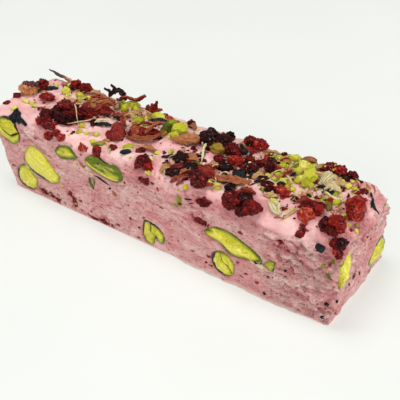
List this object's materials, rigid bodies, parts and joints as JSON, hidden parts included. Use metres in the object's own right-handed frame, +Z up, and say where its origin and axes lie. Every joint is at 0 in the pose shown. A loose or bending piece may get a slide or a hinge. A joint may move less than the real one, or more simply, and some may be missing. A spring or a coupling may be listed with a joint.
{
  "type": "nougat bar",
  "caption": "Hand-cut bar of rose-pink nougat with whole pistachios in its cut faces and a top dressed with dried berries, petals, husks and chopped nuts.",
  "frame": {"origin": "middle of the flat base", "axes": "+X along the bar towards the near end, -Y out of the front cut face, +Z up"},
  "size_m": [0.1278, 0.032, 0.0332],
  "materials": {
    "nougat": "soft, slightly waxy sugar paste, rose pink",
    "pistachio": "raw nut, yellow green with a dark skin",
    "berry": "dried berry, wrinkled and slightly sticky",
    "candied_fruit": "candied fruit, slightly see-through",
    "walnut": "toasted nut",
    "husk": "dry ribbed husk",
    "dark_leaf": "dried blue-black leaf",
    "twig": "dry stalk",
    "petal": "dried petal"
  },
  "bodies": {
    "root": {"berry_back": "berry", "berry_back_end": "berry", "berry_back_near": "berry", "berry_black": "berry", "berry_black_small": "berry", "berry_bright": "berry", "berry_corner": "berry", "berry_crimson": "berry", "berry_dusk": "berry", "berry_far": "berry", "berry_front": "berry", "berry_long": "berry", "berry_maroon": "berry", "berry_near": "berry", "berry_round": "berry", "berry_round_back": "berry", "berry_striped": "berry", "crumb_red_front": "berry", "fruit_amber": "candied_fruit", "hibiscus": "berry", "husk_tan": "husk", "kernel_back_1": "pistachio", "kernel_back_2": "pistachio", "kernel_back_3": "pistachio", "kernel_back_4": "pistachio", "kernel_back_5": "pistachio", "kernel_back_6": "pistachio", "kernel_far_1": "pistachio", "kernel_far_2": "pistachio", "kernel_front_1": "pistachio", "kernel_front_2": "pistachio", "kernel_front_3": "pistachio", "kernel_front_4": "pistachio", "kernel_front_5": "pistachio", "kernel_front_6": "pistachio", "kernel_front_7": "pistachio", "kernel_front_8": "pistachio", "kernel_front_9": "pistachio", "kernel_near_1": "pistachio", "kernel_near_2": "pistachio", "leaf_black": "dark_leaf", "leaf_standing": "dark_leaf", "nougat": "nougat", "nut_back": "pistachio", "nut_far": "pistachio", "nut_large": "pistachio", "nut_lime": "pistachio", "nut_near": "pistachio", "nut_slice": "pistachio", "petal_back": "petal", "petal_bundle": "petal", "petal_salmon": "petal", "petal_spiky": "petal", "raisin": "berry", "raspberry_half": "berry", "raspberry_string": "berry", "rosehip": "berry", "twig_far": "twig", "walnut": "walnut", "wrinkled_skin": "berry"}
  },
  "joints": []
}
